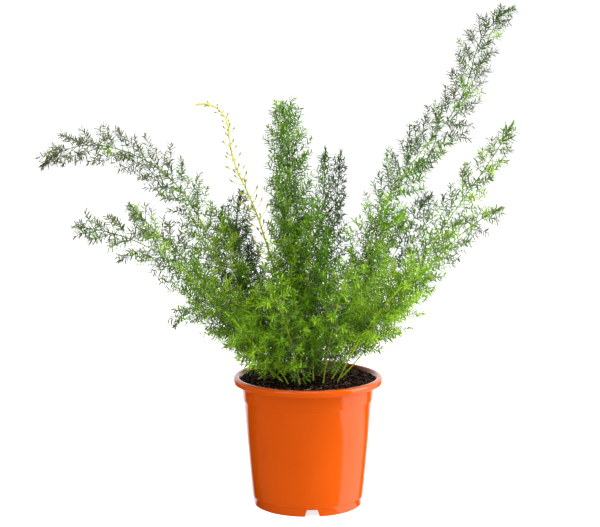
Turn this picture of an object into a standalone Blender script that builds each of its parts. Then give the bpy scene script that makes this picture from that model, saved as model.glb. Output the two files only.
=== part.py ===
"""Foxtail asparagus fern standing in an orange nursery pot.

The frame is in metres with +Z up. The origin is on the ground, at the
middle of the pot's flat central foot. +X is to the right of the front
view and -Y faces the viewer.
"""
import math
import random

import bmesh
import bpy
import numpy as np
from mathutils import Vector

MM = 0.001

# Driving dimensions of the pot, in millimetres
RIM_RADIUS = 85.0
RIM_TOP = 149.0
LIP_HEIGHT = 7.5
LIP_WIDTH = 6.2
SKIRT_RADIUS = 62.0
SKIRT_TOP = 10.5
BASE_RADIUS = 63.1
NECK_RADIUS = 75.2
SHOULDER_Z = 123.0
SHOULDER_STEP = 0.9
WALL = 1.6
FLOOR_UNDERSIDE = 9.6
FOOT_RADIUS = 20.0
POT_SIDES = 36
NOTCH_BOTTOM_WIDTH = 17.0
NOTCH_TOP_WIDTH = 12.0
NOTCH_HEIGHT = 8.2
NOTCH_ANGLES = (-85.6, 4.4, 94.4, 184.4)
DRAIN_RADIUS = 5.0
DRAIN_CIRCLE = 48.0

# Driving dimensions of the soil, in millimetres
GAP = 0.3
SOIL_EDGE_Z = 145.4
SOIL_MIDDLE_Z = 147.2
SOIL_ROUGHNESS = 0.9
STEM_DEPTH = 12.0
STEM_FOOT_Z = 146.0

# Driving dimensions of the foliage, in millimetres
STEM_RADIUS = 1.45
STEM_TIP_RADIUS = 0.75
CORE_RADIUS = 0.72
NEEDLE_LENGTH = 9.0
WHORL_LENGTH = 1.4
NEEDLE_ROOT = 0.75
PAIR_SPACING = 36.0
SPREAD = 68.0
TIP_SPREAD = 44.0
FORWARD_BEND = 0.55
CLEARANCE = 0.35
SEED = 11

# Each leafy stem: foot (x, y), direction seen from above in degrees, length,
# side shoot lengths low down, half way and near the top, bare share of the
# stem, tint, and how far the stem leans from upright, in degrees, at even
# steps from soil to tip
STEMS = {
    "right_tall_frond": ((12, 8), 12, 485, (36, 42, 30), 0.10, "mid", (37, 21, 10, 37, 42, 11, 61)),
    "right_middle_frond": ((26, -14), -24, 365, (38, 36, 22), 0.11, "light", (31, 42, 32, 36, 30)),
    "right_low_frond": ((37, -2), 4, 270, (36, 34, 22), 0.13, "light", (45, 34, 39, 45, 66)),
    "right_inner_frond": ((26, 17), 48, 270, (38, 34, 26), 0.08, "dark", (50, 37, 43, 43, 56)),
    "centre_tall_frond": ((-13, -9), 180, 315, (34, 36, 34), 0.06, "mid", (15, -2, -1, 1, 12)),
    "centre_right_frond": ((2, 13), 72, 265, (38, 30, 15), 0.06, "dark", (3, 11, 20, 20, -3)),
    "centre_back_frond": ((12, 27), 66, 260, (38, 28, 14), 0.07, "dark", (19, 17, 12, 14, 12)),
    "centre_front_frond": ((6, -24), -65, 210, (36, 36, 30), 0.07, "dark", (-2, -14, 3, 7, 2)),
    "left_arching_frond": ((-24, 6), 168, 435, (34, 38, 33), 0.11, "light", (37, 34, 22, 29, 58, 87, 135)),
    "left_low_frond": ((-28, -22), -158, 315, (36, 38, 30), 0.08, "light", (49, 35, 43, 63, 84)),
    "left_middle_frond": ((-37, -8), -178, 260, (38, 36, 28), 0.10, "light", (32, 42, 30, 47, 42)),
    "left_inner_frond": ((-14, 20), 138, 235, (36, 34, 26), 0.08, "dark", (54, 34, 27, 15, -29)),
    "left_inner_low_frond": ((-31, 18), 158, 205, (36, 34, 24), 0.08, "mid", (26, 29, 26, 17, -1)),
    "left_drooping_frond": ((-22, -35), -140, 205, (34, 32, 24), 0.12, "mid", (30, 52, 38, 74, 147)),
    "front_left_frond": ((-9, -37), -112, 160, (36, 36, 28), 0.09, "mid", (22, 30, 40, 58)),
    "front_right_frond": ((17, -31), -72, 180, (36, 36, 28), 0.09, "mid", (20, 26, 36, 55)),
    "front_side_frond": ((33, -25), -42, 195, (36, 36, 28), 0.10, "mid", (28, 36, 44, 62)),
    "back_centre_frond": ((-6, 34), 118, 235, (36, 34, 26), 0.10, "dark", (14, 14, 16, 22)),
    "back_left_frond": ((-22, 33), 132, 200, (36, 34, 26), 0.10, "dark", (24, 28, 34, 50)),
    "back_right_frond": ((27, 32), 40, 215, (36, 34, 26), 0.10, "dark", (22, 26, 34, 52)),
    "young_shoot": ((-4, 3), 160, 355, (18, 16, 7), 0.14, "shoot", (17, 16, 17, 19, 29, 2, 112)),
}
# Heights along a stem, as shares of its length, where the three side shoot
# lengths hold, and the length a side shoot ends with at the very tip
SHOOT_SHARES = (0.22, 0.55, 0.86)
LAST_SHOOT = 11.0

TINTS = {
    "light": (0.36, 0.50, 0.10),
    "mid": (0.20, 0.36, 0.08),
    "dark": (0.10, 0.22, 0.05),
    "shoot": (0.52, 0.58, 0.16),
}


def principled(name, colour, roughness):
    material = bpy.data.materials.new(name)
    material.use_nodes = True
    shader = material.node_tree.nodes["Principled BSDF"]
    shader.inputs["Base Color"].default_value = (*colour, 1.0)
    shader.inputs["Roughness"].default_value = roughness
    shader.inputs["Metallic"].default_value = 0.0
    return material


def new_object(name, mesh, material=None):
    obj = bpy.data.objects.new(name, mesh)
    bpy.context.scene.collection.objects.link(obj)
    if material:
        mesh.materials.append(material)
    return obj


def turned(name, profile, sides, material=None):
    """Spin a closed (radius, z) profile in millimetres about the Z axis."""
    bm = bmesh.new()
    points = [bm.verts.new((r * MM, 0.0, z * MM)) for r, z in profile]
    edges = [bm.edges.new((a, b)) for a, b in zip(points, points[1:])]
    bmesh.ops.spin(bm, geom=points + edges, cent=(0, 0, 0), axis=(0, 0, 1),
                   angle=math.tau, steps=sides, use_duplicate=False)
    bmesh.ops.remove_doubles(bm, verts=bm.verts[:], dist=1e-6)
    bmesh.ops.recalc_face_normals(bm, faces=bm.faces[:])
    mesh = bpy.data.meshes.new(name)
    bm.to_mesh(mesh)
    bm.free()
    return new_object(name, mesh, material)


def cut(target, cutter):
    cutter.hide_render = True
    cutter.display_type = "WIRE"
    modifier = target.modifiers.new(cutter.name, "BOOLEAN")
    modifier.operation = "DIFFERENCE"
    modifier.object = cutter
    modifier.solver = "EXACT"


for old in list(bpy.data.objects):
    bpy.data.objects.remove(old, do_unlink=True)

# The pot: thin moulded plastic, with a turned-down lip, a slightly wider
# band below it, a raised floor, a central foot and a narrower notched skirt


def outer_radius(z):
    """Outer radius of the tapering wall at a height above the skirt."""
    return BASE_RADIUS + (NECK_RADIUS - BASE_RADIUS) * z / (RIM_TOP - LIP_HEIGHT)


LIP_UNDER = RIM_TOP - LIP_HEIGHT
FLARE_BOTTOM = (NECK_RADIUS + SHOULDER_STEP - WALL - 0.2, LIP_UNDER - 0.5)
FLARE_TOP = (RIM_RADIUS - LIP_WIDTH, RIM_TOP - 1.0)


def inner_radius(z):
    """Inner radius of the wall, which flares out just below the lip."""
    if z <= SHOULDER_Z:
        return outer_radius(z) - WALL
    heights = (SHOULDER_Z, FLARE_BOTTOM[1], FLARE_TOP[1])
    return float(np.interp(z, heights, (outer_radius(SHOULDER_Z) - WALL, FLARE_BOTTOM[0], FLARE_TOP[0])))


FLOOR_TOP = FLOOR_UNDERSIDE + WALL
pot_profile = [
    (0.0, 0.0),
    (FOOT_RADIUS, 0.0),
    (FOOT_RADIUS + 1.0, FLOOR_UNDERSIDE),
    (SKIRT_RADIUS - WALL + 0.3, FLOOR_UNDERSIDE),
    (SKIRT_RADIUS - WALL, 0.0),
    (SKIRT_RADIUS, 0.0),
    (SKIRT_RADIUS + 0.8, SKIRT_TOP - 0.8),
    (outer_radius(SKIRT_TOP), SKIRT_TOP),
    (outer_radius(SHOULDER_Z), SHOULDER_Z),
    (outer_radius(SHOULDER_Z) + SHOULDER_STEP, SHOULDER_Z + 1.0),
    (NECK_RADIUS + SHOULDER_STEP, LIP_UNDER - 0.5),
    (FLARE_TOP[0] + WALL, RIM_TOP - 1.9),
    (RIM_RADIUS - 1.9, RIM_TOP - 1.9),
    (RIM_RADIUS - 1.5, LIP_UNDER),
    (RIM_RADIUS - 0.6, LIP_UNDER),
    (RIM_RADIUS, LIP_UNDER + 1.0),
    (RIM_RADIUS - 0.1, RIM_TOP - 2.4),
    (RIM_RADIUS - 2.6, RIM_TOP),
    (FLARE_TOP[0] + 0.9, RIM_TOP),
    FLARE_TOP,
    FLARE_BOTTOM,
    (inner_radius(SHOULDER_Z), SHOULDER_Z),
    (inner_radius(FLOOR_TOP), FLOOR_TOP),
    (FOOT_RADIUS - 0.6, FLOOR_TOP),
    (FOOT_RADIUS - WALL, WALL),
    (0.0, WALL),
]
orange = principled("orange_plastic", (0.80, 0.20, 0.02), 0.28)
pot = turned("pot", pot_profile, POT_SIDES, orange)
for polygon in pot.data.polygons:
    polygon.use_smooth = True
pot.data.set_sharp_from_angle(angle=math.radians(35))

for index, degrees in enumerate(NOTCH_ANGLES):
    bm = bmesh.new()
    low = NOTCH_BOTTOM_WIDTH / 2 * MM
    high = NOTCH_TOP_WIDTH / 2 * MM
    slope = (low - high) / NOTCH_HEIGHT
    outline = [(-low - slope, -MM), (low + slope, -MM), (high, NOTCH_HEIGHT * MM), (-high, NOTCH_HEIGHT * MM)]
    corners = [bm.verts.new((52 * MM, y, z)) for y, z in outline]
    face = bm.faces.new(corners)
    swept = bmesh.ops.extrude_face_region(bm, geom=[face])
    moved = [item for item in swept["geom"] if isinstance(item, bmesh.types.BMVert)]
    bmesh.ops.translate(bm, verts=moved, vec=(20 * MM, 0, 0))
    bmesh.ops.recalc_face_normals(bm, faces=bm.faces[:])
    mesh = bpy.data.meshes.new("notch_cutter_%d" % index)
    bm.to_mesh(mesh)
    bm.free()
    notch = new_object(mesh.name, mesh)
    notch.rotation_euler.z = math.radians(degrees)
    cut(pot, notch)
    bm = bmesh.new()
    bmesh.ops.create_cone(bm, cap_ends=True, segments=12, radius1=DRAIN_RADIUS * MM,
                          radius2=DRAIN_RADIUS * MM, depth=8 * MM)
    mesh = bpy.data.meshes.new("drain_cutter_%d" % index)
    bm.to_mesh(mesh)
    bm.free()
    drain = new_object(mesh.name, mesh)
    turn = math.radians(degrees)
    drain.location = (DRAIN_CIRCLE * MM * math.cos(turn), DRAIN_CIRCLE * MM * math.sin(turn),
                      (FLOOR_UNDERSIDE + WALL / 2) * MM)
    drain.rotation_euler.z = turn
    cut(pot, drain)

# The leafy stems: one closed solid for each, a slim four-sided stem with
# three-sided side shoots drawn out of its faces, and needles drawn to points
# out of the faces of each whorl


def stem_line(foot, azimuth, length, leans, soil_z=STEM_FOOT_Z, steps=120):
    """Points (mm) and arc lengths along a stem from its underground end."""
    t = np.linspace(0.0, 1.0, steps + 1)
    lean = np.radians(np.interp(t, np.linspace(0.0, 1.0, len(leans)), leans))
    turn = math.radians(azimuth)
    heading = np.stack([np.sin(lean) * math.cos(turn), np.sin(lean) * math.sin(turn), np.cos(lean)], axis=1)
    hops = (heading[1:] + heading[:-1]) / 2 * (length / steps)
    start = np.array([foot[0], foot[1], soil_z], dtype=float)
    line = np.vstack([start, start + np.cumsum(hops, axis=0)])
    line = np.vstack([line[0] - heading[0] * STEM_DEPTH, line])
    arc = np.concatenate([[-STEM_DEPTH], t * length])
    return line, arc


def along(line, arc, s):
    return np.array([np.interp(s, arc, line[:, axis]) for axis in range(3)])


def unit(vector):
    return vector / np.linalg.norm(vector)


def direction(line, arc, s):
    return unit(along(line, arc, min(s + 1.0, arc[-1])) - along(line, arc, max(s - 1.0, arc[0])))


def gaps_between(a0, a1, b0, b1):
    """Distances between every segment a and every segment b."""
    a0 = a0[:, None]
    a1 = a1[:, None]
    b0 = b0[None]
    b1 = b1[None]
    u = a1 - a0
    v = b1 - b0
    w = a0 - b0
    uu = (u * u).sum(-1)
    vv = (v * v).sum(-1)
    uv = (u * v).sum(-1)
    uw = (u * w).sum(-1)
    vw = (v * w).sum(-1)
    s = np.clip((uv * vw - uw * vv) / np.maximum(uu * vv - uv * uv, 1e-9), 0.0, 1.0)
    t = np.clip((uv * s + vw) / np.maximum(vv, 1e-9), 0.0, 1.0)
    s = np.clip((uv * t - uw) / np.maximum(uu, 1e-9), 0.0, 1.0)
    reach = (a0 + s[..., None] * u) - (b0 + t[..., None] * v)
    return np.sqrt((reach * reach).sum(-1))


class Crowd:
    """Everything already placed, as segments with a radius and an owner."""

    def __init__(self):
        self.start = np.zeros((0, 3))
        self.end = np.zeros((0, 3))
        self.radius = np.zeros(0)
        self.owner = np.zeros(0, dtype=int)
        self.station = np.zeros(0)

    def add(self, segments, owner, station):
        self.start = np.vstack([self.start, [s[0] for s in segments]])
        self.end = np.vstack([self.end, [s[1] for s in segments]])
        self.radius = np.concatenate([self.radius, [s[2] for s in segments]])
        self.owner = np.concatenate([self.owner, [owner] * len(segments)])
        self.station = np.concatenate([self.station, [station] * len(segments)])

    def clear(self, segments, owner, station):
        a0 = np.array([s[0] for s in segments])
        a1 = np.array([s[1] for s in segments])
        radius = np.array([s[2] for s in segments])
        low = np.minimum(a0, a1).min(0) - 3.0
        high = np.maximum(a0, a1).max(0) + 3.0
        near = (np.maximum(self.start, self.end) > low).all(1)
        near &= (np.minimum(self.start, self.end) < high).all(1)
        own_stem = (self.owner == owner) & (abs(self.station - station) < 6.5)
        near &= ~own_stem
        if not near.any():
            return True
        room = gaps_between(a0, a1, self.start[near], self.end[near])
        need = radius[:, None] + self.radius[near][None] + CLEARANCE
        return bool((room > need).all())


def off_pot(points):
    """True where no point touches the soil or the pot's rim."""
    for x, y, z in points:
        r = math.hypot(x, y)
        if r > BASE_RADIUS and r < RIM_RADIUS + 1.5 and z < RIM_TOP + 1.2:
            return False
        if r <= BASE_RADIUS + 10 and z < SOIL_MIDDLE_Z + 2.5:
            return False
    return True


class Solid:
    """Vertices and outward faces of one leafy stem, in millimetres."""

    def __init__(self):
        self.points = []
        self.faces = []

    def point(self, p):
        self.points.append(tuple(float(c) for c in p))
        return len(self.points) - 1

    def ring(self, centre, heading, first, radius, sides):
        side = unit(first - heading * float(np.dot(first, heading)))
        other = np.cross(heading, side)
        out = []
        for k in range(sides):
            turn = math.tau * k / sides
            out.append(self.point(centre + radius * (side * math.cos(turn) + other * math.sin(turn))))
        return out

    def at(self, index):
        return np.array(self.points[index])

    def quads(self, low, high):
        count = len(low)
        return [(low[k], low[(k + 1) % count], high[(k + 1) % count], high[k]) for k in range(count)]

    def spike(self, face, tip):
        """Draw a face out to a point."""
        apex = self.point(tip)
        for k in range(len(face)):
            self.faces.append((face[k], face[(k + 1) % len(face)], apex))


def shoot_plan(root, along_stem, outward, length, spread, needles, rng):
    """Centre line, whorls and needle tips of a side shoot that curves forward."""
    start = unit(along_stem * math.cos(spread) + outward * math.sin(spread))
    bent = spread * FORWARD_BEND
    finish = unit(along_stem * math.cos(bent) + outward * math.sin(bent))
    steps = 12
    heading = [unit(start * (1 - k / steps) + finish * (k / steps)) for k in range(steps + 1)]
    line = [root]
    for k in range(steps):
        line.append(line[-1] + (heading[k] + heading[k + 1]) / 2 * (length / steps))
    line = np.array(line)
    arc = np.linspace(0.0, length, steps + 1)
    if not needles:
        return line, arc, []
    if length < 17:
        whorls = [length - NEEDLE_LENGTH * 0.62]
    else:
        whorls = [length * 0.40, length - NEEDLE_LENGTH * 0.8]
    plan = []
    for s in whorls:
        centre = along(line, arc, s)
        way = direction(line, arc, s)
        plan.append((s, centre, way, rng.uniform(0.0, math.tau / 3)))
    return line, arc, plan


def needle_tips(centre, way, side, sides, reach, tilt):
    other = np.cross(way, side)
    tips = []
    for k in range(sides):
        turn = math.tau * (k + 0.5) / sides
        out = side * math.cos(turn) + other * math.sin(turn)
        tips.append(centre + unit(way * math.cos(tilt) + out * math.sin(tilt)) * reach)
    return tips


def crown(line, arc, across, young):
    """Middle, heading and needle tips of the last whorl of a stem."""
    s = arc[-1] - 8.0
    centre = along(line, arc, s)
    way = direction(line, arc, s)
    side = unit(across - way * float(np.dot(across, way)))
    reach = 5.0 if young else NEEDLE_LENGTH * 0.9
    return centre, way, needle_tips(centre, way, side, 4, reach, math.radians(38))


def build_stem(name, number, crowd):
    foot, azimuth, length, shoots, bare, tint, leans = STEMS[name]
    line, arc = stem_line(foot, azimuth, length, leans)
    rng = random.Random(SEED * 1000 + number)
    solid = Solid()
    young = tint == "shoot"
    turn = math.radians(azimuth)
    across = np.array([-math.sin(turn), math.cos(turn), 0.0])

    def thickness(s):
        return STEM_RADIUS + (STEM_TIP_RADIUS - STEM_RADIUS) * max(0.0, s) / length

    stations = []
    s = length * bare
    while s < length - 13.0:
        stations.append(s)
        share = s / length
        s += PAIR_SPACING * (0.7 if young else 1.0 - 0.42 * max(0.0, share - 0.45) / 0.55)
    low = solid.ring(line[0], direction(line, arc, arc[0]), across, thickness(0), 4)
    solid.faces.append(tuple(reversed(low)))
    quarter = 0
    middle = solid.ring(along(line, arc, 0.0), direction(line, arc, 0.0), across, thickness(0), 4)
    solid.faces.extend(solid.quads(low, middle))
    low = middle
    for s in stations:
        spin = math.radians(22.5 + rng.uniform(-14, 14)) + quarter * math.pi / 2
        quarter += 1
        way = direction(line, arc, s)
        base_side = unit(across - way * float(np.dot(across, way)))
        roll = spin % (math.pi / 2)
        first = base_side * math.cos(roll) + np.cross(way, base_side) * math.sin(roll)
        ring_a = solid.ring(along(line, arc, s - 1.2), way, first, thickness(s), 4)
        ring_b = solid.ring(along(line, arc, s + 1.2), way, first, thickness(s), 4)
        solid.faces.extend(solid.quads(low, ring_a))
        share = s / length
        last = shoots[-1] * 0.6 if young else LAST_SHOOT
        reach = float(np.interp(share, (bare, *SHOOT_SHARES, 1.0), (0.75 * shoots[0], *shoots, last)))
        opening = float(np.interp(share, (0.0, 0.84, 1.0), (SPREAD, SPREAD, TIP_SPREAD)))
        for k, face in enumerate(solid.quads(ring_a, ring_b)):
            if (k + quarter) % 2:
                solid.faces.append(face)
                continue
            a, b, c, d = face
            placed = False
            root = (solid.at(a) + solid.at(b) + solid.at(c)) / 3
            normal = unit(np.cross(solid.at(b) - solid.at(a), solid.at(d) - solid.at(a)))
            for attempt in range(16):
                swing = rng.uniform(-0.35, 0.35) * (1 + attempt * 0.12)
                outward = unit(normal * math.cos(swing) + np.cross(way, normal) * math.sin(swing))
                spread = math.radians(opening + rng.uniform(-10, 10) + rng.uniform(-1, 1) * attempt)
                size = reach * rng.uniform(0.86, 1.08) * (1.0 - 0.045 * attempt)
                if not young and size < 10.0:
                    break
                path, path_arc, whorls = shoot_plan(root, way, outward, size, spread, not young, rng)
                parts = []
                cuts = [0.0] + [w[0] for w in whorls] + [size]
                for p, q in zip(cuts, cuts[1:]):
                    radius = CORE_RADIUS + (0.35 if p == 0.0 else 0.05)
                    parts.append((along(path, path_arc, p), along(path, path_arc, q), radius))
                tips = []
                for _, centre, heading, roll in whorls:
                    helper = np.cross(heading, np.array([0.3, 0.5, 0.8]))
                    side = unit(helper)
                    side = side * math.cos(roll) + np.cross(heading, side) * math.sin(roll)
                    ends = needle_tips(centre, heading, side, 3, NEEDLE_LENGTH * rng.uniform(0.9, 1.05),
                                       math.radians(rng.uniform(50, 60)))
                    tips.append((side, ends))
                    for end in ends:
                        parts.append((centre, end, NEEDLE_ROOT))
                test = [parts[0][0] * 0.9 + parts[0][1] * 0.1] + [p[1] for p in parts]
                if not off_pot(test):
                    continue
                if crowd.clear(parts, number, s):
                    placed = True
                    break
            if not placed:
                solid.faces.append(face)
                continue
            crowd.add(parts, number, s)
            solid.faces.append((a, c, d))
            lower = [a, b, c]
            for (station, centre, heading, roll), (side, ends) in zip(whorls, tips):
                before = solid.ring(centre - heading * WHORL_LENGTH / 2, heading, side, CORE_RADIUS, 3)
                after = solid.ring(centre + heading * WHORL_LENGTH / 2, heading, side, CORE_RADIUS * 0.92, 3)
                solid.faces.extend(solid.quads(lower, align(solid, lower, before)))
                shift = before.index(align(solid, lower, before)[0])
                before = before[shift:] + before[:shift]
                after = after[shift:] + after[:shift]
                ends = ends[shift:] + ends[:shift]
                for side_face, end in zip(solid.quads(before, after), ends):
                    solid.spike(side_face, end)
                lower = after
            if young:
                heading = direction(path, path_arc, size * 0.55)
                bud = solid.ring(along(path, path_arc, size * 0.6), heading, normal, CORE_RADIUS * 1.15, 3)
                bud = align(solid, lower, bud)
                solid.faces.extend(solid.quads(lower, bud))
                lower = bud
            solid.spike(lower, path[-1])
        low = ring_b
    centre, way, ends = crown(line, arc, across, young)
    ring_a = solid.ring(centre - way, way, across, STEM_TIP_RADIUS, 4)
    ring_b = solid.ring(centre + way * 0.6, way, across, STEM_TIP_RADIUS, 4)
    solid.faces.extend(solid.quads(low, ring_a))
    for side_face, end in zip(solid.quads(ring_a, ring_b), ends):
        solid.spike(side_face, end)
    solid.spike(ring_b, line[-1])
    mesh = bpy.data.meshes.new(name)
    mesh.from_pydata([Vector(p) * MM for p in solid.points], [], solid.faces)
    mesh.validate()
    colour = TINTS[tint]
    return new_object(name, mesh, principled(name + "_green", colour, 0.55))


def align(solid, lower, ring):
    """Start a ring at the corner nearest to the lower ring's first corner."""
    middle_low = sum(solid.at(k) for k in lower) / len(lower)
    middle = sum(solid.at(k) for k in ring) / len(ring)
    want = unit(solid.at(lower[0]) - middle_low)
    scores = [float(np.dot(unit(solid.at(k) - middle), want)) for k in ring]
    best = scores.index(max(scores))
    return ring[best:] + ring[:best]


crowd = Crowd()
for number, name in enumerate(STEMS):
    foot, azimuth, length, _, _, _, leans = STEMS[name]
    line, arc = stem_line(foot, azimuth, length, leans)
    marks = np.linspace(arc[0], arc[-1], int(length / 4))
    for lower, upper in zip(marks, marks[1:]):
        segment = (along(line, arc, lower), along(line, arc, upper), STEM_RADIUS)
        crowd.add([segment], number, (lower + upper) / 2)
    turn = math.radians(azimuth)
    across = np.array([-math.sin(turn), math.cos(turn), 0.0])
    centre, way, ends = crown(line, arc, across, name == "young_shoot")
    crowd.add([(centre, end, NEEDLE_ROOT) for end in ends], number, length)
for number, name in enumerate(STEMS):
    build_stem(name, number, crowd)

# The soil: a plug of moist peat that fills the pot, slightly mounded, with a
# plain hole for the foot of each stem

TOP_RINGS = (0.0, 0.3, 0.6, 0.84, 1.0)
SOIL_SIDES = 24


def soil_reach(z):
    """Radius that keeps the soil's corners clear of the pot's flat facets."""
    return inner_radius(z) * math.cos(math.pi / POT_SIDES) - GAP


edge_radius = soil_reach(SOIL_EDGE_Z)
soil_profile = [
    (0.0, WALL + GAP),
    (FOOT_RADIUS - WALL - GAP - 0.4, WALL + GAP),
    (FOOT_RADIUS - 0.6 - GAP - 0.6, FLOOR_TOP + GAP),
    (soil_reach(FLOOR_TOP), FLOOR_TOP + GAP),
    (soil_reach(SHOULDER_Z), SHOULDER_Z),
    (soil_reach(FLARE_BOTTOM[1]), FLARE_BOTTOM[1]),
]
for share in reversed(TOP_RINGS):
    mound = SOIL_EDGE_Z + (SOIL_MIDDLE_Z - SOIL_EDGE_Z) * (1.0 - share ** 2.5)
    soil_profile.append((edge_radius * share, mound))
soil = turned("soil", soil_profile, SOIL_SIDES, principled("peat_soil", (0.035, 0.022, 0.015), 0.95))
soil_rng = random.Random(SEED)
for vertex in soil.data.vertices:
    r = math.hypot(vertex.co.x, vertex.co.y) / MM
    if vertex.co.z > (SOIL_EDGE_Z + 0.2) * MM and r < edge_radius - 2:
        vertex.co.z += soil_rng.uniform(-1, 1) * SOIL_ROUGHNESS * MM

for name in STEMS:
    foot, azimuth, length, _, _, _, leans = STEMS[name]
    line, arc = stem_line(foot, azimuth, length, leans)
    way = Vector(line[1] - line[0]).normalized()
    bm = bmesh.new()
    hole_radius = (STEM_RADIUS + GAP + 0.05) / math.cos(math.pi / 8) * MM
    depth = (STEM_DEPTH + 9.0) * MM
    bmesh.ops.create_cone(bm, cap_ends=True, segments=8, radius1=hole_radius,
                          radius2=hole_radius, depth=depth)
    mesh = bpy.data.meshes.new(name + "_hole_cutter")
    bm.to_mesh(mesh)
    bm.free()
    hole = new_object(mesh.name, mesh)
    middle = Vector(line[0]) * MM + way * (depth / 2 - 0.4 * MM)
    hole.location = middle
    hole.rotation_mode = "QUATERNION"
    hole.rotation_quaternion = Vector((0, 0, 1)).rotation_difference(way)
    cut(soil, hole)
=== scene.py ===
"""Foxtail asparagus fern in an orange nursery pot: the dressed model and its studio."""
import math

import bmesh
import bpy
import numpy as np
from mathutils import Matrix, Vector


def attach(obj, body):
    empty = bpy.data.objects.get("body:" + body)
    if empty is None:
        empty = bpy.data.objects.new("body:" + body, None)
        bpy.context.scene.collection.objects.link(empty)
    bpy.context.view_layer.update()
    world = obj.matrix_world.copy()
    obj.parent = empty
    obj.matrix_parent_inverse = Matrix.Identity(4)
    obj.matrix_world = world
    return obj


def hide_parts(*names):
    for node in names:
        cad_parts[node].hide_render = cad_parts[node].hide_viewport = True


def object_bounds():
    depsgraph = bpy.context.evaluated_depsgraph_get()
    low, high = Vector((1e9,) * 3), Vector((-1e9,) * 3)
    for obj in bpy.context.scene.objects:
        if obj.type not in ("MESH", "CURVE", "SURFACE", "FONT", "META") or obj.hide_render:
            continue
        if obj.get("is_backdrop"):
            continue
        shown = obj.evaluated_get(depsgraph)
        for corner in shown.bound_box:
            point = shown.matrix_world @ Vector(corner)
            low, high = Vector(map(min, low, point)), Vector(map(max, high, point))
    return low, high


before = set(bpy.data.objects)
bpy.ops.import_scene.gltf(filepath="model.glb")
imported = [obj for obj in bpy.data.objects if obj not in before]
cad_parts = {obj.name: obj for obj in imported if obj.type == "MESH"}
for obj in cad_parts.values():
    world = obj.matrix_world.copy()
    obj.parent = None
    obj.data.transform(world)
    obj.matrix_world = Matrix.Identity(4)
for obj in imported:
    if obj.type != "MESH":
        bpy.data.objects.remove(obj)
solid_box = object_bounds()

# The nursery pot
# One thin wall of injection-moulded orange polypropylene, glossy outside. It
# has a turned-down lip, a wider stacking band under it and a raised floor.

# Sizes are in millimetres here and below, and go into meshes times MM
MM = 0.001
GROUND_FOOT = 20.0
RIM_RADIUS = 85.0
RIM_TOP = 149.0
LIP_UNDER = 141.5
LIP_WIDTH = 6.2
SKIRT_RADIUS = 62.0
SKIRT_TOP = 10.5
BASE_RADIUS = 63.1
NECK_RADIUS = 75.2
SHOULDER_Z = 123.0
SHOULDER_STEP = 0.9
WALL = 1.6
FLOOR_UNDERSIDE = 9.6
FLOOR_TOP = 11.2
FLARE_BOTTOM = (74.3, 141.0)
FLARE_TOP = (RIM_RADIUS - LIP_WIDTH, RIM_TOP - 1.0)
POT_STEPS = 144


def outer_radius(z):
    """Outer radius of the tapering wall at a height above the skirt."""
    return BASE_RADIUS + (NECK_RADIUS - BASE_RADIUS) * z / LIP_UNDER


def inner_radius(z):
    """Inner radius of the wall, which flares out just below the lip."""
    if z <= SHOULDER_Z:
        return outer_radius(z) - WALL
    heights = (SHOULDER_Z, FLARE_BOTTOM[1], FLARE_TOP[1])
    radii = (outer_radius(SHOULDER_Z) - WALL, FLARE_BOTTOM[0], FLARE_TOP[0])
    return float(np.interp(z, heights, radii))


def linear(hex_colour):
    """An sRGB hex colour as linear values with alpha 1."""
    values = []
    for k in (0, 2, 4):
        c = int(hex_colour[k:k + 2], 16) / 255
        values.append(c / 12.92 if c <= 0.04045 else ((c + 0.055) / 1.055) ** 2.4)
    return (*values, 1.0)


def nothing_selected():
    """Leave edit mode and deselect every object."""
    if bpy.context.object and bpy.context.object.mode != "OBJECT":
        bpy.ops.object.mode_set(mode="OBJECT")
    bpy.ops.object.select_all(action="DESELECT")


def only(piece):
    """Select one piece alone and make it active."""
    nothing_selected()
    piece.select_set(True)
    bpy.context.view_layer.objects.active = piece


def place_applied(piece):
    """Move a piece's place, turn and scale into its mesh."""
    only(piece)
    bpy.ops.object.transform_apply(location=True, rotation=True, scale=True)


def apply_modifiers(piece):
    """Apply all of a piece's modifiers in their order."""
    only(piece)
    for modifier in list(piece.modifiers):
        bpy.ops.object.modifier_apply(modifier=modifier.name)


def turned(name, profile, steps):
    """Draw a (radius, z) profile point by point and spin it about the Z axis."""
    nothing_selected()
    bpy.ops.mesh.primitive_plane_add(size=0.01)
    piece = bpy.context.object
    piece.name = name
    bpy.ops.object.mode_set(mode="EDIT")
    bpy.ops.mesh.select_all(action="SELECT")
    bpy.ops.mesh.merge(type="CENTER")
    start_r, start_z = profile[0]
    bpy.ops.transform.translate(value=(start_r * MM, 0, start_z * MM))
    for (r0, z0), (r1, z1) in zip(profile, profile[1:]):
        step = ((r1 - r0) * MM, 0, (z1 - z0) * MM)
        bpy.ops.mesh.extrude_region_move(TRANSFORM_OT_translate={"value": step})
    bpy.ops.mesh.select_all(action="SELECT")
    bpy.ops.mesh.spin(steps=steps, angle=math.tau, center=(0, 0, 0), axis=(0, 0, 1))
    bpy.ops.mesh.select_all(action="SELECT")
    bpy.ops.mesh.remove_doubles(threshold=0.00001)
    bpy.ops.mesh.normals_make_consistent(inside=False)
    bpy.ops.object.mode_set(mode="OBJECT")
    return piece


def cut_by(piece, cutter):
    """Cut a piece with a cutter, which is then removed."""
    modifier = piece.modifiers.new("cut", "BOOLEAN")
    modifier.object = cutter
    modifier.operation = "DIFFERENCE"
    modifier.solver = "EXACT"
    apply_modifiers(piece)
    bpy.data.objects.remove(cutter, do_unlink=True)


def rounded(piece, width, segments, degrees):
    """Round the edges of a piece that are sharper than an angle."""
    modifier = piece.modifiers.new("rounding", "BEVEL")
    modifier.width = width
    modifier.segments = segments
    modifier.limit_method = "ANGLE"
    modifier.angle_limit = math.radians(degrees)
    apply_modifiers(piece)


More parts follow.
